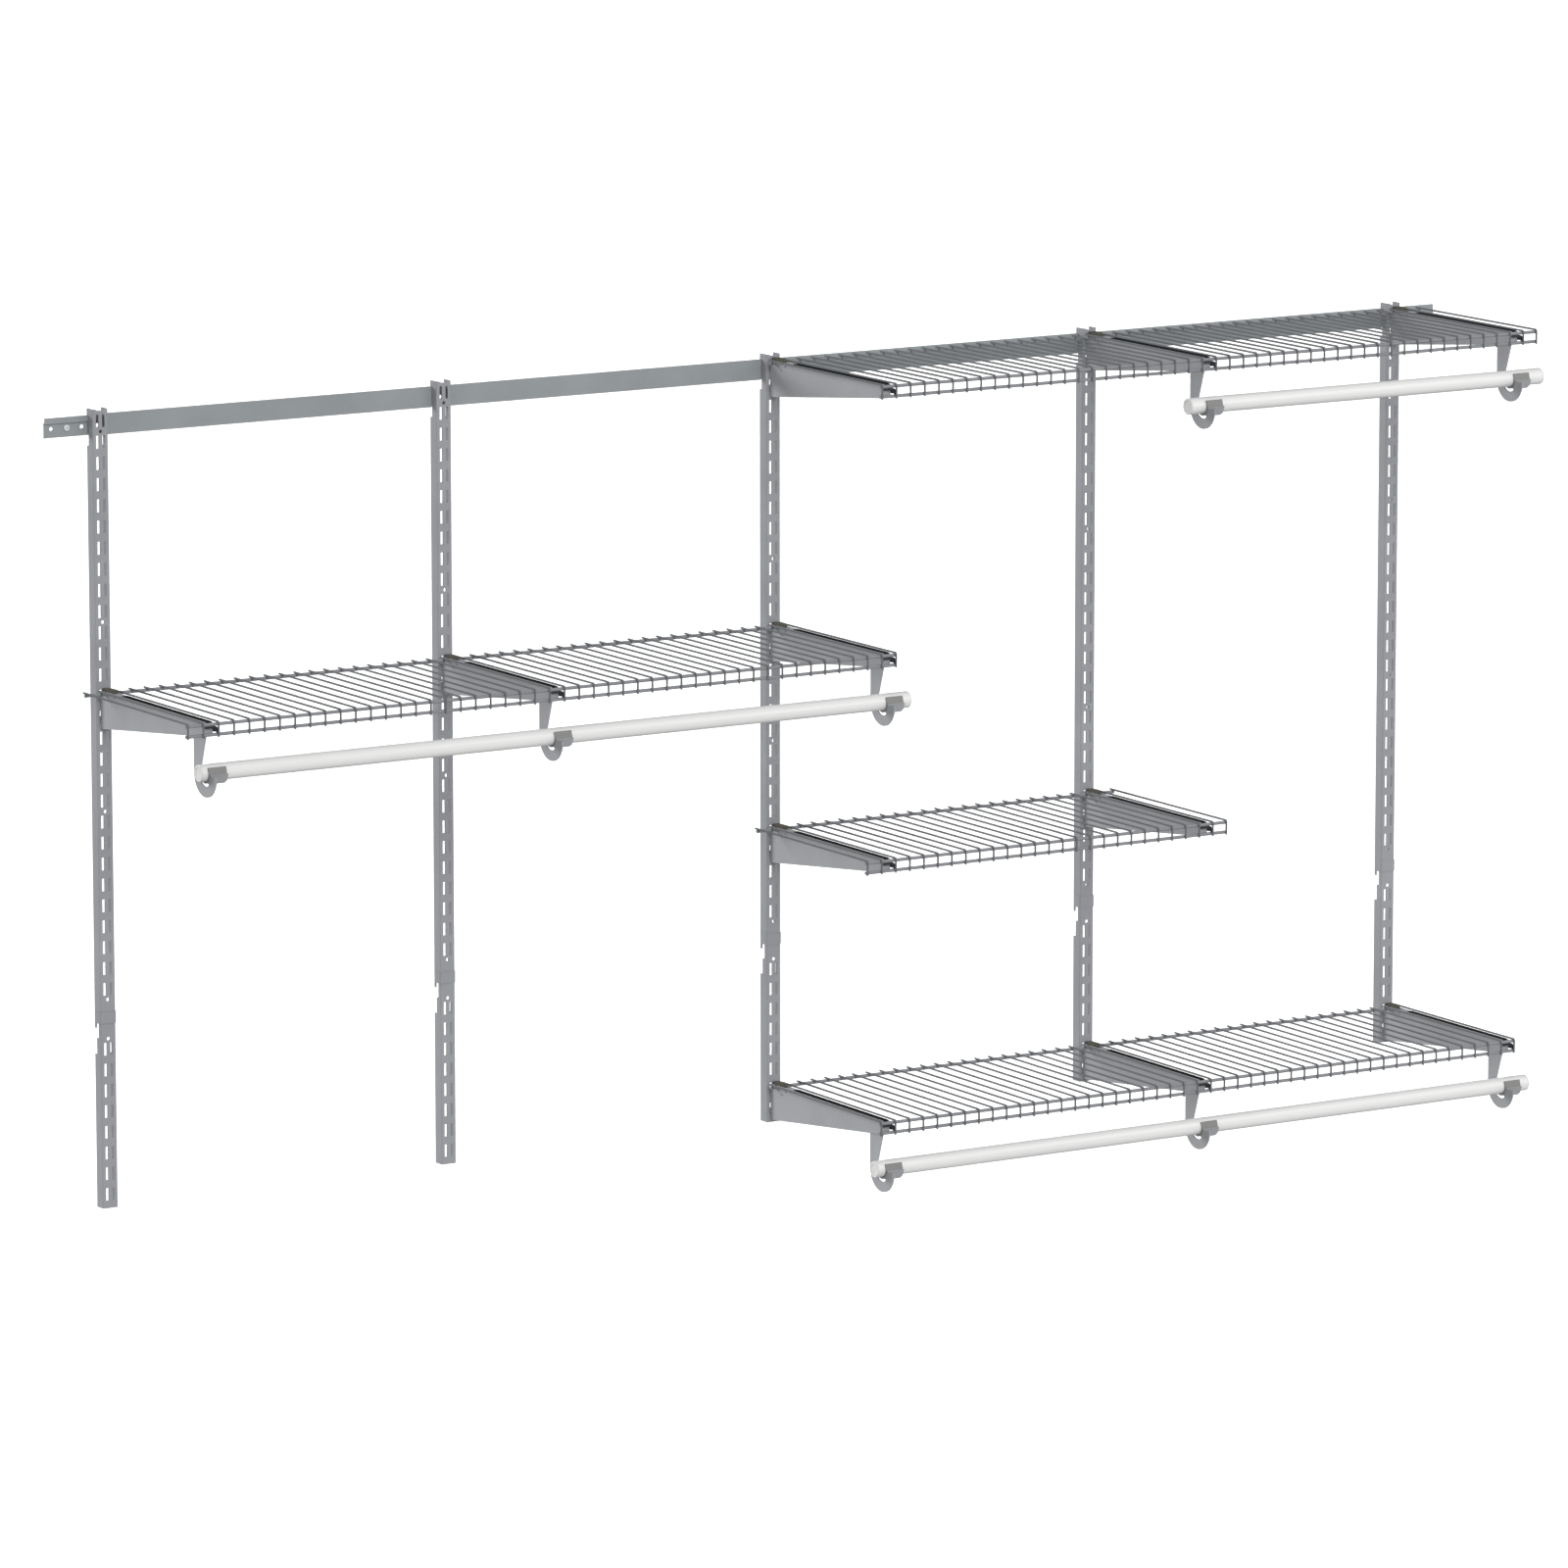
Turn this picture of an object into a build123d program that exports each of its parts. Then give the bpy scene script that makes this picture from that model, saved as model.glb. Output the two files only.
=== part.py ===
from build123d import *
import math
import os

# Wall mounted closet system: a hang rail screwed to the wall, five slotted
# uprights that hook over it, an extension plugged into the foot of each
# upright, four wire shelf decks on slot-in brackets, and three hanging rods
# carried by hooks under the brackets.
#
# Millimetres, +Z up, the wall is the plane Y = 0 and the room is at -Y.
# The geometry is first laid out with X = 0 on the axis of the leftmost
# upright and Z = 0 at the uprights' top, then moved so that the origin is the
# middle rail screw on the wall plane.

# ---------------------------------------------------------------- dimensions
# uprights and their slots
SPACING = 584.2            # between upright axes (23 in)
N_UPRIGHTS = 5
UP_W = 25.4                # outer width of the channel (1 in)
UP_D = 19.05               # depth of the channel, wall to front face (3/4 in)
UP_T = 1.6                 # sheet thickness
UP_R = 2.0                 # outer bend radius
SLOT_PITCH = 31.75         # 1.25 in
SLOT_H = 19.6
SLOT_W = 4.2
SLOT_X = 5.1               # slot columns left and right of the axis
SLOT_TOP_0 = -39.2         # top of slot 0; slot -1 is one pitch above
SLOT_LAST = 26
HOLE_R = 2.75              # wall screw holes in the uprights
HOLE_PITCH = 285.75
HOLE_TOP = -33.2
# hook over the rail
NOTCH_TOP = -9.8
NOTCH_BOTTOM = -55.6
NOTCH_DEPTH = 5.4
TONGUE_BOTTOM = -16.2
TONGUE_Y = 2.4
# splice between upright and extension
UP_END = -911.5            # end of the straight channel
BELL_TOP = -909.0
BELL_END = -927.0
BELL_TONGUE = -935.0
BELL_OUT = 1.1             # how far the bell stands outside the channel
BELL_REAR = 3.3            # the bell's sides stop this far off the wall
EXT_TOP = -912.5
EXT_END = -1209.5
EXT_NECK_1 = -950.0        # above this the side walls are 7 deep only
EXT_NECK_2 = -975.0
EXT_HOLE = -950.2
EXT_SLOT_0 = -956.2
EXT_SLOT_N = 8

# hang rail, its screws and cover strips
RAIL_X0, RAIL_X1 = -85.0, 2423.8
RAIL_TOP, RAIL_BOTTOM = -9.8, -39.8
RAIL_T = 1.4
RAIL_LIP_Y = 4.2           # front face of the raised lip
RAIL_STEP = -17.2          # underside of the hook channel
RAIL_HOLE_Z = -26.4
RAIL_HOLE_R = 3.0
RAIL_HOLE_X0 = -72.7
RAIL_HOLE_PITCH = 25.4
SCREW_X0 = -47.3
SCREW_PITCH = 406.4        # 16 in stud spacing
SCREW_N = 7
SCREW_R = 2.1
SCREW_NECK_R = 2.5         # plain neck in the rail's hole
SCREW_LEN = 38.1
SCREW_HEAD_R = 4.75
SCREW_HEAD_H = 2.6
COVER_T = 0.8

# wire decks
WIRE_PITCH = 25.4
WIRE_R = 1.5
ROD_R = 2.5                # deck's cross rods
WELD = 0.3                 # how deep a wire is pressed into a cross rod
DECK_REAR_Y = -27.4        # rear tips of the wires
REAR_ROD_Y = -34.0
FRONT_ROD_Y = -351.0
LIP_ROD_Z = -20.5          # lower front rod, below the wires' top
LIP_END_Z = -24.0          # lower end of the bent-down wires

# shelf levels: top of the wires is 0.7 above the slot the bracket hooks into
LEVEL_OVER_SLOT = 0.7
LEVEL_TOP = SLOT_TOP_0 + SLOT_PITCH + LEVEL_OVER_SLOT
LEVEL_LEFT = SLOT_TOP_0 - 12 * SLOT_PITCH + LEVEL_OVER_SLOT
LEVEL_MIDDLE = SLOT_TOP_0 - 22 * SLOT_PITCH + LEVEL_OVER_SLOT
LEVEL_BOTTOM = EXT_SLOT_0 - 6 * SLOT_PITCH + LEVEL_OVER_SLOT

# brackets
BR_OUT = 6.2               # half of the outer width
BR_T = 1.4
BR_REAR_Y = -19.35
BR_FRONT_Y = -348.1
BR_TOP = -1.8              # top edge, below the wires' top
BR_REAR_BOTTOM = -59.6
BR_FRONT_BOTTOM = -24.0
BR_WEB_END_Y = -300.0
ROD_SEAT_Z = -7.85         # the deck's cross rods rest just above this

# rod hooks and hanging rods
HK_X0, HK_X1 = -4.75, -2.75
RING_Y, RING_Z = -343.0, -80.0
RING_R, RING_IN = 34.0, 18.0
TUBE_Y, TUBE_Z = -343.0, -77.3
TUBE_R = 12.7
TUBE_T = 1.5
SADDLE_X0, SADDLE_X1 = -6.0, 23.5
SADDLE_R = 13.0            # seat radius, 0.3 clear of the tube

# origin: the middle rail screw on the wall plane
ORIGIN_X = SCREW_X0 + SCREW_PITCH * (SCREW_N - 1) / 2
ORIGIN_Z = RAIL_HOLE_Z


# ------------------------------------------------------------------- helpers
def block(x0, x1, y0, y1, z0, z1):
    x0, x1 = min(x0, x1), max(x0, x1)
    y0, y1 = min(y0, y1), max(y0, y1)
    z0, z1 = min(z0, z1), max(z0, z1)
    return Pos((x0 + x1) / 2, (y0 + y1) / 2, (z0 + z1) / 2) * Box(x1 - x0, y1 - y0, z1 - z0)


def poly(points):
    return make_face(Polyline(*points, close=True))


def along_x(face, x0, x1):
    """A profile drawn in (Y, Z), extruded from x0 to x1."""
    return Pos(x0, 0, 0) * extrude(Plane.YZ * face, amount=x1 - x0)


def cyl_y(x, z, r, y0, y1):
    return Pos(x, (y0 + y1) / 2, z) * (Rot(90, 0, 0) * Cylinder(r, abs(y1 - y0)))


def cyl_x(y, z, r, x0, x1):
    return Pos((x0 + x1) / 2, y, z) * (Rot(0, 90, 0) * Cylinder(r, abs(x1 - x0)))


def solids(*shapes):
    out = []
    for s in shapes:
        if isinstance(s, (list, tuple)):
            out += solids(*s)
        else:
            out += list(s.solids())
    return out


def axis_x(i):
    """X of upright number i, counted from 1 at the left."""
    return (i - 1) * SPACING


os.makedirs("parts", exist_ok=True)
TO_ORIGIN = Pos(-ORIGIN_X, 0, -ORIGIN_Z)


def save(name, *shapes):
    got = solids(*shapes)
    moved = [TO_ORIGIN * s for s in got]
    shape = moved[0] if len(moved) == 1 else Compound(children=moved)
    export_step(shape, f"parts/{name}.step")
    print(f"{name}: {len(got)} solid(s), {sum(s.volume for s in got):.0f} mm3")


# ------------------------------------------------------------------ hang rail
# Z-shaped strip: the lower flange lies on the wall, the upper lip stands off
# it so that the uprights' hooks drop in behind it.
rail_profile = poly([
    (0, RAIL_BOTTOM), (0, RAIL_STEP), (-RAIL_LIP_Y + RAIL_T, RAIL_STEP),
    (-RAIL_LIP_Y + RAIL_T, RAIL_TOP), (-RAIL_LIP_Y, RAIL_TOP),
    (-RAIL_LIP_Y, RAIL_STEP - RAIL_T), (-RAIL_T, RAIL_STEP - RAIL_T),
    (-RAIL_T, RAIL_BOTTOM),
])
rail = along_x(rail_profile, RAIL_X0, RAIL_X1)
n_holes = int((RAIL_X1 - 6 - RAIL_HOLE_X0) / RAIL_HOLE_PITCH) + 1
rail_holes = [cyl_y(RAIL_HOLE_X0 + RAIL_HOLE_PITCH * i, RAIL_HOLE_Z, RAIL_HOLE_R, -RAIL_T - 1, 1)
              for i in range(n_holes)]
rail = rail - rail_holes
save("hang_rail", rail)

# cover strips snap over the rail between the uprights and at its right end
cover_profile = poly([
    (-1.6, RAIL_TOP + 0.8), (-1.6, RAIL_TOP + 0.1), (-RAIL_LIP_Y - 0.2, RAIL_TOP + 0.1),
    (-RAIL_LIP_Y - 0.2, RAIL_BOTTOM - 0.1), (-1.6, RAIL_BOTTOM - 0.1), (-1.6, RAIL_BOTTOM - 0.8),
    (-RAIL_LIP_Y - 0.2 - COVER_T, RAIL_BOTTOM - 0.8), (-RAIL_LIP_Y - 0.2 - COVER_T, RAIL_TOP + 0.8),
])
covers = []
for i in range(1, N_UPRIGHTS):
    covers.append(along_x(cover_profile, axis_x(i) + UP_W / 2 + 0.4, axis_x(i + 1) - UP_W / 2 - 0.4))
covers.append(along_x(cover_profile, axis_x(N_UPRIGHTS) + UP_W / 2 + 0.4, RAIL_X1 + 0.2))
save("rail_covers", covers)

# rail screws: pan heads with a cross recess, shanks running into the wall
screw = (cyl_y(0, 0, SCREW_HEAD_R, -RAIL_T - SCREW_HEAD_H, -RAIL_T)
         + cyl_y(0, 0, SCREW_NECK_R, -RAIL_T - 0.5, 0)
         + cyl_y(0, 0, SCREW_R, -RAIL_T - 0.5, SCREW_LEN - RAIL_T - 5)
         + Pos(0, SCREW_LEN - RAIL_T - 2.5, 0) * (Rot(-90, 0, 0) * Cone(SCREW_R, 0.5, 5)))
head_face = -RAIL_T - SCREW_HEAD_H
screw = screw - block(-2.6, 2.6, head_face - 1, head_face + 1.4, -0.5, 0.5)
screw = screw - block(-0.5, 0.5, head_face - 1, head_face + 1.4, -2.6, 2.6)
rim = [e for e in screw.edges() if e.geom_type == GeomType.CIRCLE
       and abs(e.center().Y - head_face) < 0.01 and abs(e.radius - SCREW_HEAD_R) < 0.01]
if rim:
    screw = fillet(rim, 1.3)
save("rail_screws", [Pos(SCREW_X0 + SCREW_PITCH * i, 0, RAIL_HOLE_Z) * screw for i in range(SCREW_N)])


# ------------------------------------------------------------------- uprights
def channel_face(w, d, t, r):
    """U section, open at the wall side, front face at -d."""
    outer = Pos(0, -d / 2) * Rectangle(w, d)
    front = [v for v in outer.vertices() if v.Y < -d + 0.01]
    outer = fillet(front, r)
    inner = Pos(0, -(d - t) / 2 + 0.5) * Rectangle(w - 2 * t, d - t + 1)
    front = [v for v in inner.vertices() if v.Y < -(d - t) + 0.01]
    inner = fillet(front, max(r - t, 0.3))
    return outer - inner


def channel(w, d, t, r, z_top, z_bottom):
    return Pos(0, 0, z_bottom) * extrude(channel_face(w, d, t, r), amount=z_top - z_bottom)


def slot_cutter(x, z_top):
    s = Pos(0, 0) * RectangleRounded(SLOT_W, SLOT_H, 0.9)
    body = extrude(Plane.XZ * s, amount=UP_T + 2)      # Plane.XZ looks along -Y
    return Pos(x, -UP_D + UP_T + 1, z_top - SLOT_H / 2) * body


def wall_notch(y_depth, z0, z1):
    return block(-UP_W, UP_W, -y_depth, 1, z0, z1)


upright = channel(UP_W, UP_D, UP_T, UP_R, 0, UP_END)
# the bell: a slightly wider channel that takes the extension's neck; behind it
# the rear strips of the side walls run on as two tongues
bell = channel(UP_W + 2 * BELL_OUT, UP_D + BELL_OUT, BELL_OUT - 0.05, UP_R + BELL_OUT, BELL_TOP, BELL_END)
joggle = channel(UP_W + 2 * BELL_OUT, UP_D + BELL_OUT, BELL_OUT + UP_T, UP_R + BELL_OUT, BELL_TOP, UP_END)
behind_bell = block(-UP_W, UP_W, -BELL_REAR, 1, BELL_TOP + 1, BELL_END - 1)
upright = upright + (joggle - behind_bell) + (bell - behind_bell)
for s in (-1, 1):
    upright = upright + block(s * (UP_W / 2 - UP_T), s * UP_W / 2, -4, 0, UP_END + 1, BELL_TONGUE)
cutters = [slot_cutter(x, SLOT_TOP_0 - SLOT_PITCH * k) for k in range(-1, SLOT_LAST + 1) for x in (-SLOT_X, SLOT_X)]
cutters += [cyl_y(0, HOLE_TOP - HOLE_PITCH * i, HOLE_R, -UP_D - 1, -UP_D + UP_T + 1) for i in range(4)]
# hook over the rail's lip
cutters.append(block(-UP_W, UP_W, -NOTCH_DEPTH, 1, TONGUE_BOTTOM, NOTCH_BOTTOM))
cutters.append(block(-UP_W, UP_W, -NOTCH_DEPTH, -TONGUE_Y, NOTCH_TOP, TONGUE_BOTTOM - 1))
# hollowed top edge of the front web
cutters.append(cyl_y(0, 17.45 - 2.4, 17.45, -UP_D - 1, -UP_D + UP_T))
upright = upright - cutters
for i in range(1, N_UPRIGHTS + 1):
    save(f"upright_{i}", Pos(axis_x(i), 0, 0) * upright)

extension = channel(UP_W, UP_D, UP_T, UP_R, EXT_TOP, EXT_END)
cutters = [slot_cutter(x, EXT_SLOT_0 - SLOT_PITCH * k) for k in range(EXT_SLOT_N) for x in (-SLOT_X, SLOT_X)]
cutters.append(cyl_y(0, EXT_HOLE, HOLE_R, -UP_D - 1, -UP_D + UP_T + 1))
cutters.append(wall_notch(12.0, EXT_TOP + 1, EXT_NECK_1))
cutters.append(wall_notch(6.4, EXT_NECK_1 + 1, EXT_NECK_2))
extension = extension - cutters
for i in range(1, N_UPRIGHTS + 1):
    save(f"upright_extension_{i}", Pos(axis_x(i), 0, 0) * extension)

# ------------------------------------------------------------------- brackets
# Side plate profile, Z counted from the top of the deck's wires. Two lugs at
# the rear go through the upright's slots and drop behind its web.
slot_bottom_1 = -LEVEL_OVER_SLOT - SLOT_H
slot_bottom_2 = slot_bottom_1 - SLOT_PITCH
LUG_H, LUG_DROP = 11.0, 7.0
lug_y = -(UP_D - UP_T) + 0.5                # front of the lug's drop, behind the web
slope = (BR_FRONT_BOTTOM - BR_REAR_BOTTOM) / (-342.0 - BR_REAR_Y)
nose_bottom = BR_FRONT_BOTTOM + slope * (BR_FRONT_Y + 342.0)


def lug(z_bottom):
    z = z_bottom + 0.1
    return poly([
        (BR_REAR_Y - 2, z), (lug_y, z), (lug_y, z - LUG_DROP), (lug_y + 1.8, z - LUG_DROP),
        (lug_y + 2.4, z - LUG_DROP + 1.5), (lug_y + 2.4, z + LUG_H - 1.5), (lug_y + 1.4, z + LUG_H), (BR_REAR_Y - 2, z + LUG_H),
    ])


notch_front = math.tan(math.radians(15))
plate = poly([
    (BR_REAR_Y, BR_TOP - 1.2), (BR_REAR_Y - 1.2, BR_TOP),
    (REAR_ROD_Y + ROD_R + 0.3, BR_TOP), (REAR_ROD_Y + ROD_R + 0.3, ROD_SEAT_Z),
    (REAR_ROD_Y - ROD_R - 0.4, ROD_SEAT_Z), (REAR_ROD_Y - ROD_R - 0.4 - (BR_TOP - ROD_SEAT_Z) * notch_front, BR_TOP),
    (BR_FRONT_Y + 1.0, BR_TOP), (BR_FRONT_Y, BR_TOP - 1.0),
    (BR_FRONT_Y, ROD_SEAT_Z), (-350.6, ROD_SEAT_Z), (-350.6, ROD_SEAT_Z - 1.65), (BR_FRONT_Y, -10.9),
    (BR_FRONT_Y, nose_bottom + 1.5), (BR_FRONT_Y + 1.5, nose_bottom),
    (-342.0, BR_FRONT_BOTTOM), (BR_REAR_Y - 3.0, BR_REAR_BOTTOM + slope * -3.0), (BR_REAR_Y, BR_REAR_BOTTOM + 2.5),
])
plate = plate + lug(slot_bottom_1) + lug(slot_bottom_2)
web = poly([
    (BR_REAR_Y - 3.0, BR_REAR_BOTTOM + slope * -3.0), (BR_REAR_Y - 3.0, BR_REAR_BOTTOM + slope * -3.0 + BR_T),
    (BR_WEB_END_Y, BR_REAR_BOTTOM + slope * (BR_WEB_END_Y - BR_REAR_Y) + BR_T),
    (BR_WEB_END_Y, BR_REAR_BOTTOM + slope * (BR_WEB_END_Y - BR_REAR_Y)),
])
bracket = along_x(plate, -BR_OUT, -BR_OUT + BR_T) + along_x(plate, BR_OUT - BR_T, BR_OUT)
bracket = bracket + along_x(web, -BR_OUT + 0.2, BR_OUT - 0.2)
# front end plate with the beak that carries the deck's upper front rod
nose = poly([
    (BR_FRONT_Y + BR_T, ROD_SEAT_Z - 1.25), (BR_FRONT_Y, ROD_SEAT_Z), (-350.6, ROD_SEAT_Z), (-350.6, ROD_SEAT_Z - 1.65),
    (BR_FRONT_Y, -10.9),
    (BR_FRONT_Y, nose_bottom + 1.5), (BR_FRONT_Y + BR_T, nose_bottom + 1.5),
])
bracket = bracket + along_x(nose, -BR_OUT + 0.2, BR_OUT - 0.2)
# bridging tab between the plates behind the insert
bracket = bracket + block(-BR_OUT + 0.2, BR_OUT - 0.2, -61, -83, BR_TOP - BR_T, BR_TOP)
bracket = bracket - [cyl_x(y, z, 1.5, -BR_OUT - 1, BR_OUT + 1) for y, z in ((-43.0, -6.8), (-64.5, -7.4), (-53.4, -14.0))]

SHELVES = {
    "top": (LEVEL_TOP, [3, 4, 5]),
    "left": (LEVEL_LEFT, [1, 2, 3]),
    "middle": (LEVEL_MIDDLE, [3, 4]),
    "bottom": (LEVEL_BOTTOM, [3, 4, 5]),
}
for row, (level, ups) in SHELVES.items():
    for n, i in enumerate(ups, 1):
        save(f"bracket_{row}_{n}", Pos(axis_x(i), 0, level) * bracket)

# dark insert lying in the open top of each bracket
insert_profile = poly([
    (-85.0, -1.0), (-85.0, -4.8), (-346.2, -4.8), (-346.2, -1.6), (-344.5, -1.0),
])
insert = along_x(insert_profile, -BR_OUT + BR_T + 0.05, BR_OUT - BR_T - 0.05)
for row, (level, ups) in SHELVES.items():
    save(f"bracket_inserts_{row}", [Pos(axis_x(i), 0, level) * insert for i in ups])

# ------------------------------------------------------------------ rod hooks
# Flat steel hook: a stem held inside the bracket's left plate, a ring that
# opens forward and upward, and a flange folded sideways under the rod.
ring = Pos(RING_Y, RING_Z) * Circle(RING_R)
ring = ring - Pos(RING_Y, RING_Z) * Circle(RING_IN)
mouth = poly([
    (RING_Y, RING_Z), (RING_Y - 60, RING_Z), (RING_Y - 60, RING_Z + 60), (-345.0, RING_Z + 60),
    (-345.0, -26.0), (-331.6, -66.0),
])
ring = ring - mouth
stem = poly([
    (-309.0, RING_Z), (-309.0, -7.0), (-310.5, -5.4), (-344.0, -5.4), (-345.5, -7.0), (-345.5, -23.0), (-345.0, -26.0),
    (-331.6, -66.0), (-327.0, -74.0), (-325.5, RING_Z),
])
flange_out = [(-361.2, -79.4), (-354.9, -92.8)]
flange_in = [(-352.9, -91.9), (-359.2, -78.5)]
flange = poly(flange_out + flange_in)
arm_fill = poly([(-361.4, RING_Z), (-361.2, -79.4), (-359.2, -78.5), (-352.9, -91.9), (-354.2, -94.6), (-358.0, -92.5)])
hook_plate = ring + stem + arm_fill
hook = along_x(hook_plate, HK_X0, HK_X1) + along_x(flange, HK_X0, SADDLE_X1 + 1.0)
# the flange's lower right corner is cut off
hook = hook - (Pos(SADDLE_X1 + 1.0, -355, -93) * (Rot(0, 45, 0) * Box(5, 12, 5)))
HOOKS = {"top": [4, 5], "left": [1, 2, 3], "bottom": [3, 4, 5]}
for row, ups in HOOKS.items():
    level = SHELVES[row][0]
    for n, i in enumerate(ups, 1):
        save(f"rod_hook_{row}_{n}", Pos(axis_x(i), 0, level) * hook)

# plastic saddle in each hook: flat outside, round seat inside
a = math.radians(36)
outer = poly([
    (TUBE_Y, TUBE_Z), (TUBE_Y - 14.5 * math.cos(a), TUBE_Z + 14.5 * math.sin(a)),
    (-355.9, -68.0), (-359.1, -78.4), (-352.8, -91.75), (-344.5, -93.4), (-338.0, -92.3), (-336.6, -89.0),
])
saddle_face = outer - Pos(TUBE_Y, TUBE_Z) * Circle(SADDLE_R)
saddle = along_x(saddle_face, SADDLE_X0, SADDLE_X1)
for row, ups in HOOKS.items():
    level = SHELVES[row][0]
    save(f"rod_saddles_{row}", [Pos(axis_x(i), 0, level) * saddle for i in ups])

# --------------------------------------------------------------- hanging rods
TUBES = {  # left end and right end, X
    "left": (axis_x(1) - 16.1, axis_x(3) + 40.2),
    "top": (axis_x(4) - 32.4, axis_x(5) + 53.9),
    "bottom": (axis_x(3) - 19.1, axis_x(5) + 42.9),
}
CAP_T = 2.5


def end_cap(x, z, s):
    """Cap plugged into the tube's end at x; s = -1 left end, +1 right end."""
    disc = cyl_x(TUBE_Y, z, TUBE_R, x, x - s * CAP_T)
    rim = [e for e in disc.edges() if abs(e.center().X - x) < 0.01]
    disc = fillet(rim, 0.8)
    disc = disc + cyl_x(TUBE_Y, z, TUBE_R - TUBE_T - 0.05, x - s * (CAP_T - 0.5), x - s * 15)
    return disc - cyl_x(TUBE_Y, z, 8.8, x + s * 1, x - s * 0.7)


for row, (x0, x1) in TUBES.items():
    z = SHELVES[row][0] + TUBE_Z
    tube = cyl_x(TUBE_Y, z, TUBE_R, x0 + CAP_T, x1 - CAP_T) - cyl_x(TUBE_Y, z, TUBE_R - TUBE_T, x0, x1)
    save(f"hanging_rod_{row}", tube)
    save(f"rod_end_caps_{row}", [end_cap(x0, z, -1), end_cap(x1, z, 1)])

# ----------------------------------------------------------------- wire decks
# Wires run front to rear, rest on a rear rod and a front rod, bend down over
# the front rod and end below a second front rod: one welded piece. The cross
# rods have twelve narrow sides, so each weld is a small flat seat.
ROD_SIDES = 12
ROD_FLAT = ROD_R * 0.988                    # centre to a flat side
off = ROD_FLAT + WIRE_R - WELD              # wire centre to rod centre
wire_z = -WIRE_R
rod_z = wire_z - off
BEND_START_Y = FRONT_ROD_Y - 1.3
BEND_R = 2.5
drop_y = BEND_START_Y - BEND_R
LIP_ROD_Y = drop_y + off

bend_low = wire_z - BEND_R
wire = (cyl_y(0, wire_z, WIRE_R, BEND_START_Y, DECK_REAR_Y)
        + Pos(0, drop_y, (bend_low + LIP_END_Z) / 2) * Cylinder(WIRE_R, bend_low - LIP_END_Z))
bend_section = Plane(origin=(0, BEND_START_Y, wire_z), x_dir=(1, 0, 0), z_dir=(0, 1, 0)) * Circle(WIRE_R)
wire = wire + revolve(bend_section, axis=Axis((0, BEND_START_Y, bend_low), (1, 0, 0)), revolution_arc=90)


def cross_rod(y, z, x0, x1):
    side = RegularPolygon(ROD_FLAT / math.cos(math.pi / ROD_SIDES), ROD_SIDES, rotation=180 / ROD_SIDES)
    return along_x(Pos(y, z) * side, x0, x1)


DECKS = {"top": (3, -1, 47), "left": (1, -2, 46), "middle": (3, -2, 24), "bottom": (3, -1, 46)}
for row, (i, n0, n1) in DECKS.items():
    level = SHELVES[row][0]
    xs = [axis_x(i) + WIRE_PITCH / 2 + WIRE_PITCH * n for n in range(n0, n1 + 1)]
    e = WIRE_R + 0.35                       # rods end just past the last wires
    rods = [cross_rod(REAR_ROD_Y, level + rod_z, xs[0] - e, xs[-1] + e),
            cross_rod(FRONT_ROD_Y, level + rod_z, xs[0] - e, xs[-1] + e),
            cross_rod(LIP_ROD_Y, level + LIP_ROD_Z, xs[0] - e, xs[-1] + e)]
    wires = [Pos(x, 0, level) * wire for x in xs]
    base = rods[0].solids()[0]
    deck = base.fuse(*[s for r in rods[1:] for s in r.solids()], *[s for w in wires for s in w.solids()])
    save(f"deck_{row}", deck)

# rear clips: stand between the bracket's plates and hold the deck's rear rod down
clip_body = block(-BR_OUT + BR_T + 0.2, BR_OUT - BR_T - 0.2, -23.0, -51.0, -15.5, -1.0)
clip_cap = poly([
    (-23.0, -1.5), (-23.0, 1.2), (-25.0, 2.6), (-48.0, 3.0), (-51.0, 1.4), (-51.0, -1.5),
])
rear_clip = clip_body + along_x(clip_cap, -BR_OUT + BR_T + 0.2, BR_OUT - BR_T - 0.2)
rear_clip = rear_clip - block(-20, 20, REAR_ROD_Y + ROD_R + 0.1, REAR_ROD_Y - ROD_R - 0.1, -30, rod_z)
rear_clip = rear_clip - cyl_x(REAR_ROD_Y, rod_z, ROD_R + 0.1, -20, 20)
# front clips: a finger beside the bracket's nose with a strap between the rods
strap = poly([(-8.7, -8.3), (-8.7, -10.9), (3.5, -10.9), (3.5, -8.3)])
arc_c = (3.5, -17.8)
quarter = Pos(*arc_c) * Circle(9.5) - Pos(*arc_c) * Circle(6.9)
quarter = quarter & poly([arc_c, (arc_c[0] + 30, arc_c[1]), (arc_c[0] + 30, arc_c[1] + 30), (arc_c[0], arc_c[1] + 30)])
strap = strap + quarter
front_clip = Pos(0, -350.95, 0) * extrude(Plane.XZ * strap, amount=2.0)
finger = poly([(6.6, -8.9), (11.2, -8.9), (13.9, -13.0), (13.9, -16.2), (6.6, -16.2)])
front_clip = front_clip + Pos(0, -340.0, 0) * extrude(Plane.XZ * finger, amount=12.4)
for row, (level, ups) in SHELVES.items():
    save(f"deck_rear_clips_{row}", [Pos(axis_x(i), 0, level) * rear_clip for i in ups])
    save(f"deck_front_clips_{row}", [Pos(axis_x(i), 0, level) * front_clip for i in ups])
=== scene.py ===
import math
import random

import bpy
from mathutils import Matrix, Vector


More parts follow.
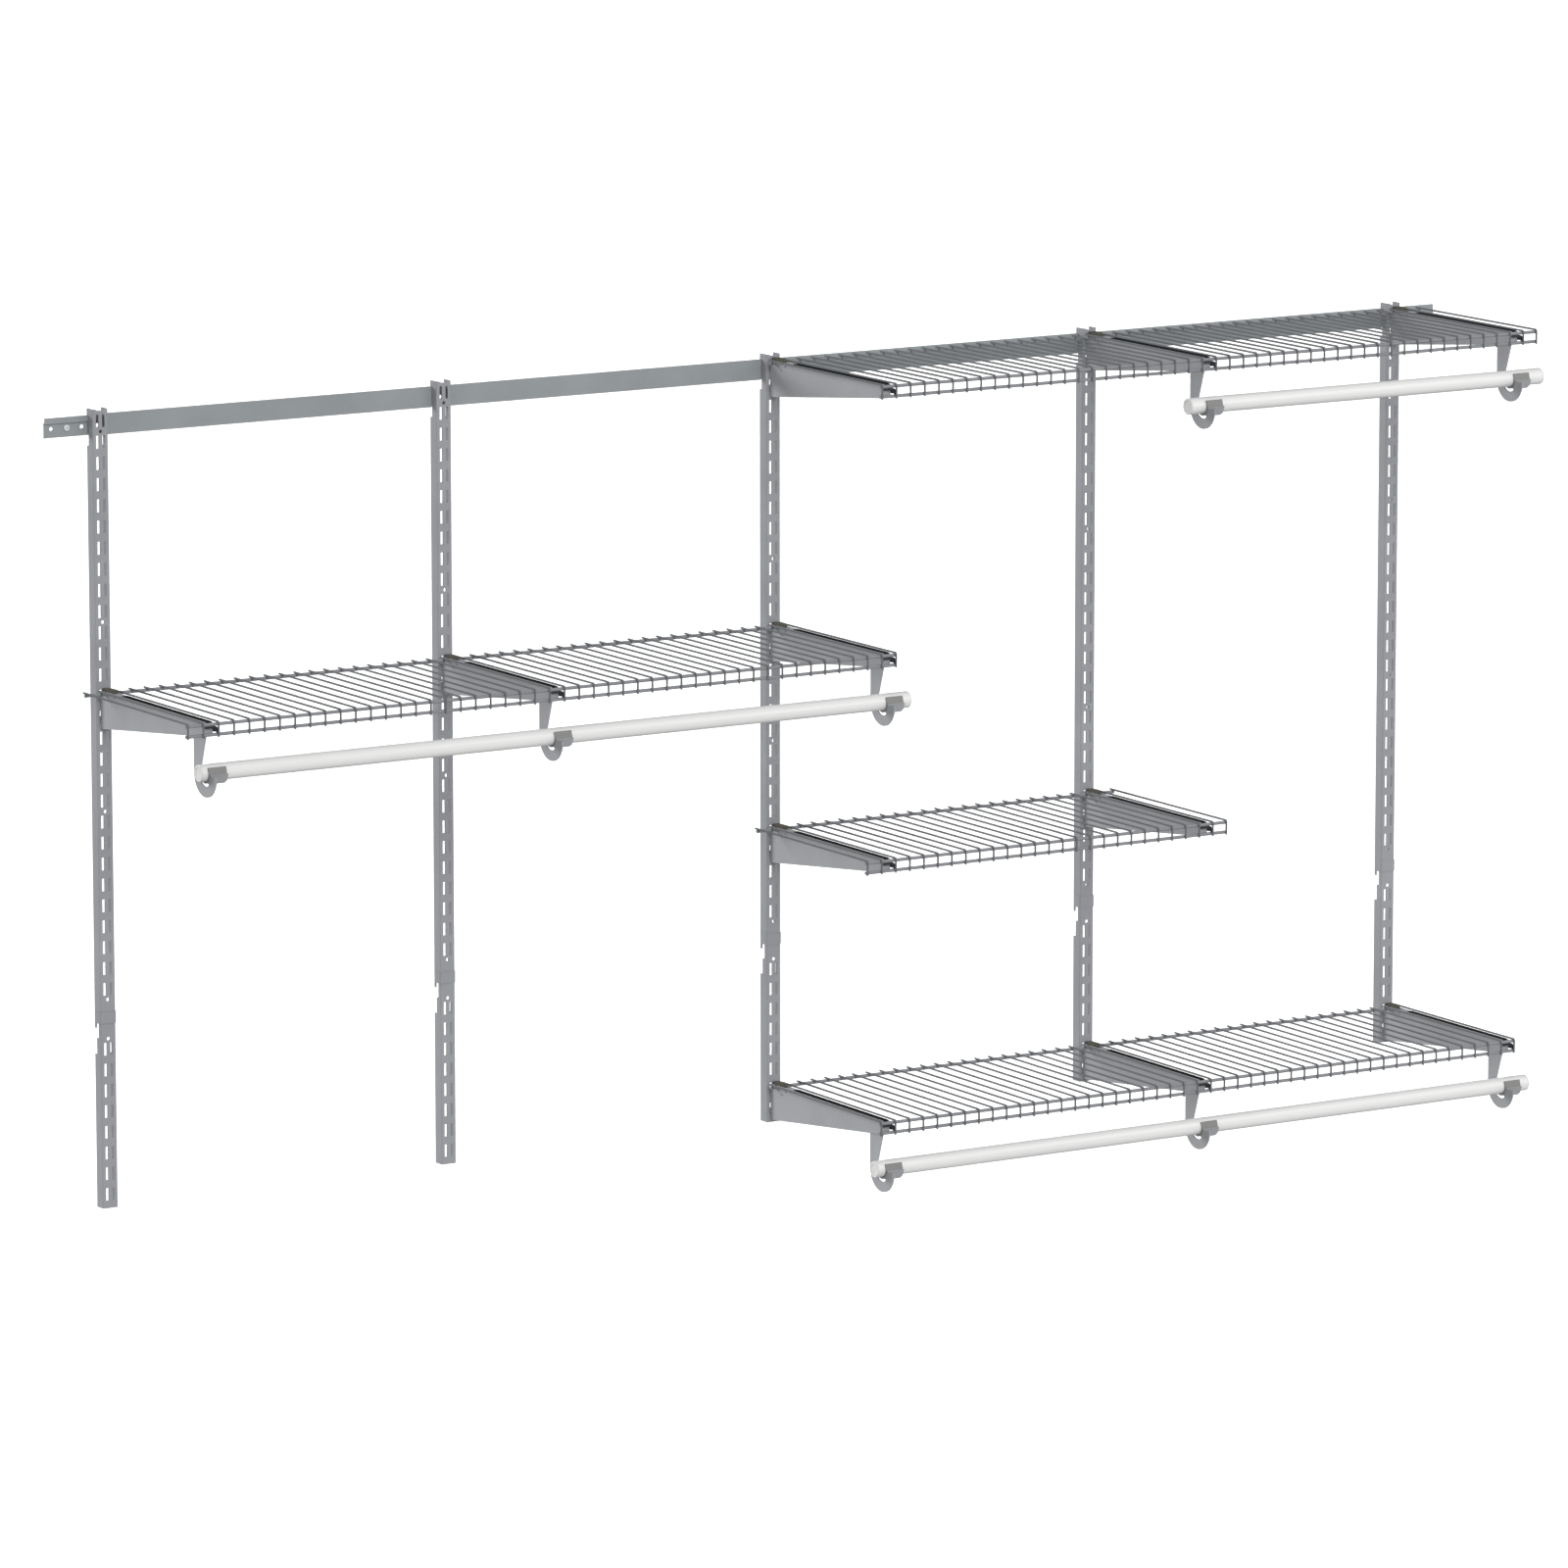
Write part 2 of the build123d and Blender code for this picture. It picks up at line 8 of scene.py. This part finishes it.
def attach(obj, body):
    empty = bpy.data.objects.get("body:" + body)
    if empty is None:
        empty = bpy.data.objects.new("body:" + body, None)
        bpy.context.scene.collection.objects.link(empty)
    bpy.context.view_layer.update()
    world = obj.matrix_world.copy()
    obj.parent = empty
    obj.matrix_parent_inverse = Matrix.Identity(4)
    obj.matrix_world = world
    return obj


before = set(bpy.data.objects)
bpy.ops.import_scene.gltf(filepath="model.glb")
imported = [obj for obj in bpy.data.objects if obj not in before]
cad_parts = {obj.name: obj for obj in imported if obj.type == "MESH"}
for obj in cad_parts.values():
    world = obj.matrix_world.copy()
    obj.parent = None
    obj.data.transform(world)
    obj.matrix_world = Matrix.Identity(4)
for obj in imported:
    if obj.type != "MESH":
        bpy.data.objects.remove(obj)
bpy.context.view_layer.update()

scene = bpy.context.scene

# --------------------------------------------------------------------- camera
# Position and direction of the photograph's view, in the part's own frame.
YAW, PITCH, ROLL = 0.5520792, 0.1768726, -0.0006617
forward = Vector((math.sin(YAW) * math.cos(PITCH), math.cos(YAW) * math.cos(PITCH), -math.sin(PITCH)))
right0 = Vector((math.cos(YAW), -math.sin(YAW), 0.0))
up0 = right0.cross(forward)
right = right0 * math.cos(ROLL) + up0 * math.sin(ROLL)
up = up0 * math.cos(ROLL) - right0 * math.sin(ROLL)
rot = Matrix((right, up, -forward)).transposed().to_4x4()
cam_data = bpy.data.cameras.new("camera")
cam = bpy.data.objects.new("camera", cam_data)
scene.collection.objects.link(cam)
cam.matrix_world = Matrix.Translation((-7.70874, -12.55903, 1.98383)) @ rot
cam_data.sensor_fit = "HORIZONTAL"
cam_data.sensor_width = 36.0
cam_data.lens = 36.0 * 9818.43 / 1600.0
cam_data.clip_start = 0.5
cam_data.clip_end = 60.0
scene.camera = cam

# --------------------------------------------------------------------- light
scene.view_settings.view_transform = "Standard"
scene.view_settings.look = "None"
world = bpy.data.worlds.new("studio")
scene.world = world
world.use_nodes = True
wt = world.node_tree
wn = wt.nodes["Background"]
wn.inputs["Color"].default_value = (1.0, 1.0, 1.0, 1.0)


def world_range(value, a, b, lo, hi):
    n = wt.nodes.new("ShaderNodeMapRange")
    n.interpolation_type = "SMOOTHSTEP"
    n.inputs["From Min"].default_value = a
    n.inputs["From Max"].default_value = b
    n.inputs["To Min"].default_value = lo
    n.inputs["To Max"].default_value = hi
    wt.links.new(value, n.inputs["Value"])
    return n.outputs["Result"]


def world_math(op, a, b):
    n = wt.nodes.new("ShaderNodeMath")
    n.operation = op
    for sock, v in ((n.inputs[0], a), (n.inputs[1], b)):
        if isinstance(v, float):
            sock.default_value = v
        else:
            wt.links.new(v, sock)
    return n.outputs[0]


# a white studio: bright in front, above and at both sides, dimmer behind the
# wall plane and below; what is mirrored at the back is darker still, so that
# edges and undersides keep their outline
axes = wt.nodes.new("ShaderNodeSeparateXYZ")
wt.links.new(wt.nodes.new("ShaderNodeTexCoord").outputs["Generated"], axes.inputs[0])
path = wt.nodes.new("ShaderNodeLightPath")
away = world_math("ADD", world_math("MULTIPLY", axes.outputs["X"], 0.45), world_math("MULTIPLY", axes.outputs["Y"], 0.89))
dim = world_range(away, 0.35, 0.85, 0.0, 1.0)
back_loss = world_math("ADD", 0.25, world_math("MULTIPLY", path.outputs["Is Glossy Ray"], 0.65))
around = world_math("MULTIPLY", 0.46, world_math("SUBTRACT", 1.0, world_math("MULTIPLY", dim, back_loss)))
overhead = world_range(axes.outputs["Z"], 0.35, 0.95, 0.0, 0.46)
below = world_range(axes.outputs["Z"], -0.30, 0.05, 1.25, 1.0)
glow = world_math("MULTIPLY", world_math("MAXIMUM", around, overhead), below)
shown_to_camera = world_math("MULTIPLY", path.outputs["Is Camera Ray"], 0.94)
rest = world_math("MULTIPLY", world_math("SUBTRACT", 1.0, path.outputs["Is Camera Ray"]), glow)
wt.links.new(world_math("ADD", shown_to_camera, rest), wn.inputs["Strength"])


def area_light(name, place, aim, size, power):
    data = bpy.data.lights.new(name, "AREA")
    data.shape = "RECTANGLE"
    data.size, data.size_y = size
    data.energy = power
    o = bpy.data.objects.new(name, data)
    scene.collection.objects.link(o)
    o.location = place
    o.rotation_euler = (Vector(aim) - Vector(place)).to_track_quat("-Z", "Y").to_euler()
    return o


# key light: one very large soft source, high at the front left
key = bpy.data.lights.new("key", "SUN")
key.energy = 1.75
key.angle = 0.6
key_object = bpy.data.objects.new("key", key)
scene.collection.objects.link(key_object)
key_object.rotation_euler = Vector((0.25, 1.49, -0.85)).to_track_quat("-Z", "Y").to_euler()
# second soft source, at the back left and a little above: it reaches the
# faces that look left and the insides of the uprights, and is not mirrored
side = bpy.data.lights.new("side", "SUN")
side.energy = 3.2
side.angle = 0.5
side_object = bpy.data.objects.new("side", side)
scene.collection.objects.link(side_object)
side_object.rotation_euler = Vector((0.50, -0.82, -0.28)).to_track_quat("-Z", "Y").to_euler()
side_object.visible_glossy = False
area_light("fill", (3.6, -4.0, 1.6), (0.2, -0.2, -0.6), (3.0, 2.6), 40.0)

# --------------------------------------------------------------------- floor
floor_mesh = bpy.data.meshes.new("floor")
F = 40.0
floor_mesh.from_pydata([(-F, -F, -1.75), (F, -F, -1.75), (F, F, -1.75), (-F, F, -1.75)], [], [(0, 1, 2, 3)])
floor = bpy.data.objects.new("floor", floor_mesh)
scene.collection.objects.link(floor)
fm = bpy.data.materials.new("floor_pale")
fm.use_nodes = True
fb = fm.node_tree.nodes["Principled BSDF"]
fb.inputs["Base Color"].default_value = (0.93, 0.93, 0.93, 1)
fb.inputs["Roughness"].default_value = 0.9
fb.inputs["Specular IOR Level"].default_value = 0.1
fb.inputs["Emission Color"].default_value = (1, 1, 1, 1)
fb.inputs["Emission Strength"].default_value = 0.45
floor_mesh.materials.append(fm)
floor.visible_glossy = False
floor.visible_diffuse = False


# ----------------------------------------------------------------- materials
def srgb(r, g, b):
    def lin(c):
        c /= 255.0
        return c / 12.92 if c <= 0.04045 else ((c + 0.055) / 1.055) ** 2.4
    return (lin(r), lin(g), lin(b), 1.0)


class Mat:
    """A principled material with node helpers."""

    def __init__(self, name, roughness=0.5, metallic=0.0, specular=0.5):
        self.m = bpy.data.materials.new(name)
        self.m.use_nodes = True
        self.t = self.m.node_tree
        self.b = self.t.nodes["Principled BSDF"]
        self.b.inputs["Metallic"].default_value = metallic
        self.b.inputs["Roughness"].default_value = roughness
        self.b.inputs["Specular IOR Level"].default_value = specular
        self.co = self.t.nodes.new("ShaderNodeTexCoord").outputs["Object"]

    def link(self, a, b):
        self.t.links.new(a, b)

    def scaled(self, scale):
        n = self.t.nodes.new("ShaderNodeMapping")
        n.inputs["Scale"].default_value = scale
        self.link(self.co, n.inputs["Vector"])
        return n.outputs["Vector"]

    def noise(self, scale, detail=3.0, rough=0.55, vector=None, distortion=0.0):
        n = self.t.nodes.new("ShaderNodeTexNoise")
        n.inputs["Scale"].default_value = scale
        n.inputs["Detail"].default_value = detail
        n.inputs["Roughness"].default_value = rough
        n.inputs["Distortion"].default_value = distortion
        self.link(vector if vector is not None else self.co, n.inputs["Vector"])
        return n.outputs["Fac"]

    def ramp(self, fac, stops):
        n = self.t.nodes.new("ShaderNodeValToRGB")
        e = n.color_ramp.elements
        while len(e) < len(stops):
            e.new(0.5)
        for el, (p, c) in zip(e, stops):
            el.position = p
            el.color = c
        self.link(fac, n.inputs["Fac"])
        return n.outputs["Color"]

    def map(self, fac, a, b, lo=0.3, hi=0.7):
        n = self.t.nodes.new("ShaderNodeMapRange")
        n.inputs["From Min"].default_value = lo
        n.inputs["From Max"].default_value = hi
        n.inputs["To Min"].default_value = a
        n.inputs["To Max"].default_value = b
        self.link(fac, n.inputs["Value"])
        return n.outputs["Result"]

    def mix(self, fac, a, b):
        n = self.t.nodes.new("ShaderNodeMix")
        n.data_type = "RGBA"
        if isinstance(fac, float):
            n.inputs["Factor"].default_value = fac
        else:
            self.link(fac, n.inputs["Factor"])
        for sock, v in ((n.inputs[6], a), (n.inputs[7], b)):
            if isinstance(v, tuple):
                sock.default_value = v
            else:
                self.link(v, sock)
        return n.outputs[2]

    def color(self, out):
        self.link(out, self.b.inputs["Base Color"])

    def rough(self, out):
        self.link(out, self.b.inputs["Roughness"])

    def bump(self, fac, strength, distance, normal=None):
        n = self.t.nodes.new("ShaderNodeBump")
        n.inputs["Strength"].default_value = strength
        n.inputs["Distance"].default_value = distance
        self.link(fac, n.inputs["Height"])
        if normal is not None:
            self.link(normal, n.inputs["Normal"])
        self.link(n.outputs["Normal"], self.b.inputs["Normal"])
        return n.outputs["Normal"]


def powder_coat(name, base, dark, light, roughness=(0.40, 0.52), metallic=0.0, lit_rod_bands=()):
    """Grey powder coat: fine orange peel, faint clouding and tiny flecks.

    Each band is (place along Y, half width, (dark, light)): painted highlight,
    a paler copy of the coat on the cross rods that lie there, between the wires, standing in for the light on them.
    """
    m = Mat(name, metallic=metallic, specular=0.5)
    clouds = m.noise(7.0, 4.0, 0.6)
    fleck = m.noise(2600.0, 2.0, 0.6)
    tone = m.ramp(clouds, [(0.35, dark), (0.55, base), (0.75, light)])
    flecks = m.ramp(fleck, [(0.36, (0.80, 0.80, 0.81, 1)), (0.52, (1, 1, 1, 1)), (0.66, (1.0, 1.0, 1.0, 1))])
    mul = m.t.nodes.new("ShaderNodeMix")
    mul.data_type = "RGBA"
    mul.blend_type = "MULTIPLY"
    mul.inputs["Factor"].default_value = 0.6
    m.link(tone, mul.inputs[6])
    m.link(flecks, mul.inputs[7])
    coat = mul.outputs[2]
    depth = None
    # painted highlight: each band paints a paler copy of the coat on a cross rod, between the wires, for the light on
    # it
    for place, half, pale in lit_rod_bands:
        if depth is None:
            split = m.t.nodes.new("ShaderNodeSeparateXYZ")
            m.link(m.co, split.inputs[0])
            depth = split.outputs["Y"]
            wires = m.t.nodes.new("ShaderNodeMath")      # distance from the nearest wire
            wires.operation = "PINGPONG"
            shift = m.t.nodes.new("ShaderNodeMath")
            m.link(split.outputs["X"], shift.inputs[0])
            shift.inputs[1].default_value = 1.1719 - 0.0127 + 0.0254 * 20
            m.link(shift.outputs[0], wires.inputs[0])
            wires.inputs[1].default_value = 0.0127
            between = m.t.nodes.new("ShaderNodeMath")
            between.operation = "GREATER_THAN"
            m.link(wires.outputs[0], between.inputs[0])
            between.inputs[1].default_value = 0.00165
        near = m.t.nodes.new("ShaderNodeMath")
        near.operation = "COMPARE"
        m.link(depth, near.inputs[0])
        near.inputs[1].default_value = place
        near.inputs[2].default_value = half
        lit_coat = m.t.nodes.new("ShaderNodeMix")
        lit_coat.data_type = "RGBA"
        lit_coat.blend_type = "MULTIPLY"
        lit_coat.inputs["Factor"].default_value = 0.6
        m.link(m.ramp(clouds, [(0.35, pale[0]), (0.75, pale[1])]), lit_coat.inputs[6])
        m.link(flecks, lit_coat.inputs[7])
        both = m.t.nodes.new("ShaderNodeMath")
        both.operation = "MULTIPLY"
        m.link(near.outputs[0], both.inputs[0])
        m.link(between.outputs[0], both.inputs[1])
        coat = m.mix(both.outputs[0], coat, lit_coat.outputs[2])
    m.color(coat)
    m.rough(m.map(m.noise(60.0, 3.0), roughness[0], roughness[1]))
    peel = m.noise(900.0, 2.0, 0.5)
    m.bump(peel, 0.25, 0.0004)
    return m.m


mats = {}
mats["upright"] = powder_coat("upright_powder_coat", srgb(148, 150, 154), srgb(143, 145, 149), srgb(153, 155, 159))
mats["rail"] = powder_coat("rail_powder_coat", srgb(142, 147, 149), srgb(137, 142, 144), srgb(147, 152, 154))
mats["bracket"] = powder_coat("bracket_powder_coat", srgb(157, 159, 162), srgb(152, 154, 157), srgb(162, 164, 167))
# paler tones painted on the deck's cross rods: painted highlight for the light on them
LIT_ROD_TONES = (srgb(130, 132, 136), srgb(138, 140, 144))
mats["deck"] = powder_coat("deck_powder_coat", srgb(103, 105, 108), srgb(98, 100, 103), srgb(108, 110, 113),
                           lit_rod_bands=((-0.0340, 0.0026, LIT_ROD_TONES), (-0.3510, 0.0026, LIT_ROD_TONES)))

# zinc-plated screws
m = Mat("screw_zinc", roughness=0.32, metallic=0.25)
m.color(m.ramp(m.noise(240.0, 3.0), [(0.3, srgb(206, 208, 211)), (0.7, srgb(226, 227, 229))]))
m.rough(m.map(m.noise(500.0, 2.0), 0.25, 0.42))
m.bump(m.noise(1200.0, 2.0), 0.15, 0.0003)
mats["screw"] = m.m

# black moulded insert
m = Mat("insert_black_plastic", roughness=0.6, specular=0.18)
m.color(m.ramp(m.noise(900.0, 3.0), [(0.3, srgb(9, 9, 10)), (0.7, srgb(18, 18, 19))]))
m.rough(m.map(m.noise(70.0, 3.0), 0.55, 0.72))
m.bump(m.noise(2200.0, 3.0, 0.6), 0.35, 0.0004)
mats["insert"] = m.m


def moulded(name, dark, light, rough=(0.42, 0.56)):
    m = Mat(name, specular=0.45)
    m.color(m.ramp(m.noise(420.0, 3.0), [(0.3, dark), (0.7, light)]))
    m.rough(m.map(m.noise(90.0, 3.0), *rough))
    m.bump(m.noise(1800.0, 3.0, 0.6), 0.25, 0.0004)
    return m.m


mats["saddle"] = moulded("saddle_plastic", srgb(122, 122, 121), srgb(130, 130, 129))
mats["clip_rear"] = moulded("rear_clip_plastic", srgb(74, 72, 63), srgb(88, 85, 75))
mats["clip_front"] = moulded("front_clip_plastic", srgb(24, 27, 31), srgb(36, 40, 45))
mats["cap"] = moulded("rod_cap_plastic", srgb(206, 206, 205), srgb(218, 218, 217), (0.3, 0.42))

# white satin enamel on the rods, with faint lengthwise drawing lines
m = Mat("rod_white_enamel", specular=0.6)
lines = m.noise(1.0, 2.0, 0.5, vector=m.scaled((2.0, 900.0, 900.0)))
m.color(m.ramp(lines, [(0.3, srgb(220, 220, 219)), (0.7, srgb(228, 228, 227))]))
m.rough(m.map(m.noise(25.0, 3.0), 0.30, 0.42))
m.bump(m.noise(700.0, 2.0), 0.1, 0.0003)
m.b.inputs["Coat Weight"].default_value = 0.3
m.b.inputs["Coat Roughness"].default_value = 0.2
mats["rod"] = m.m


def give(node, mat):
    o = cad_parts[node]
    slots = o.data.materials
    if len(slots) == 0:
        slots.append(mat)
    for i in range(len(o.material_slots)):
        o.material_slots[i].material = mat


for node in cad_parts:
    if node in ("hang_rail", "rail_covers"):
        give(node, mats["rail"])
    elif node == "rail_screws":
        give(node, mats["screw"])
    elif node.startswith("upright"):
        give(node, mats["upright"])
    elif node.startswith("bracket_inserts"):
        give(node, mats["insert"])
    elif node.startswith(("bracket", "rod_hook")):
        give(node, mats["bracket"])
    elif node.startswith("rod_saddles"):
        give(node, mats["saddle"])
    elif node.startswith("hanging_rod"):
        give(node, mats["rod"])
    elif node.startswith("rod_end_caps"):
        give(node, mats["cap"])
    elif node.startswith("deck_rear_clips"):
        give(node, mats["clip_rear"])
    elif node.startswith("deck_front_clips"):
        give(node, mats["clip_front"])
    else:
        give(node, mats["deck"])

# ---------------------------------------------------------------- weld beads
# Where each wire of a deck crosses a cross rod, the weld is squeezed out into a
# small flat bead under the coat.
AXIS_X = 1.1719                     # from the leftmost upright's axis to the origin
TOP_Z = 0.0264                      # the uprights' top above the origin
SPACING, PITCH = 0.5842, 0.0254
DECKS = {
    "top": (3, -1, 47, -0.0392 + 0.03175 + 0.0007),
    "left": (1, -2, 46, -0.0392 - 12 * 0.03175 + 0.0007),
    "middle": (3, -2, 24, -0.0392 - 22 * 0.03175 + 0.0007),
    "bottom": (3, -1, 46, -0.9562 - 6 * 0.03175 + 0.0007),
}
WELDS = (  # place behind the wall plane and under the wires' top, half sizes
    ((-0.0340, -0.00292), (0.0021, 0.0022, 0.00105)),
    ((-0.3510, -0.00292), (0.0021, 0.0022, 0.00105)),
    ((-0.35338, -0.0205), (0.0021, 0.00105, 0.0022)),
)
rng = random.Random(11)
for row, (i, n0, n1, level) in DECKS.items():
    verts, faces = [], []
    for n in range(n0, n1 + 1):
        x = (i - 1) * SPACING + PITCH / 2 + PITCH * n - AXIS_X
        for (y, z), half in WELDS:
            base = len(verts)
            grow = [rng.uniform(0.88, 1.08) for _ in range(3)]
            turn = rng.uniform(0.0, 0.6)
            rings, sides = 7, 12
            for r in range(rings + 1):
                a = math.pi * r / rings
                for k in range(sides if 0 < r < rings else 1):
                    b = 2 * math.pi * k / sides + turn
                    wave = 1.0 + 0.05 * math.sin(3 * b + 5 * turn)
                    u = (math.sin(a) * math.cos(b) * wave, math.sin(a) * math.sin(b) * wave, math.cos(a))
                    if half[1] < half[0]:
                        u = (u[0], u[2], u[1])
                    verts.append(tuple(c + h * g * w for c, h, g, w in zip((x, y, level + z + TOP_Z), half, grow, u)))
            ring = lambda r: base + 1 + (r - 1) * sides
            flip = half[1] < half[0]
            new = []
            for k in range(sides):
                m1 = (k + 1) % sides
                new.append((base, ring(1) + k, ring(1) + m1))
                for r in range(1, rings - 1):
                    new.append((ring(r) + k, ring(r + 1) + k, ring(r + 1) + m1, ring(r) + m1))
                new.append((ring(rings - 1) + k, base + 1 + (rings - 1) * sides, ring(rings - 1) + m1))
            faces += [tuple(reversed(f)) for f in new] if flip else new
    mesh = bpy.data.meshes.new(f"weld_beads_{row}")
    mesh.from_pydata(verts, [], faces)
    mesh.shade_smooth()
    mesh.materials.append(mats["deck"])
    beads = bpy.data.objects.new(f"weld_beads_{row}", mesh)
    scene.collection.objects.link(beads)
    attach(beads, f"deck_{row}")
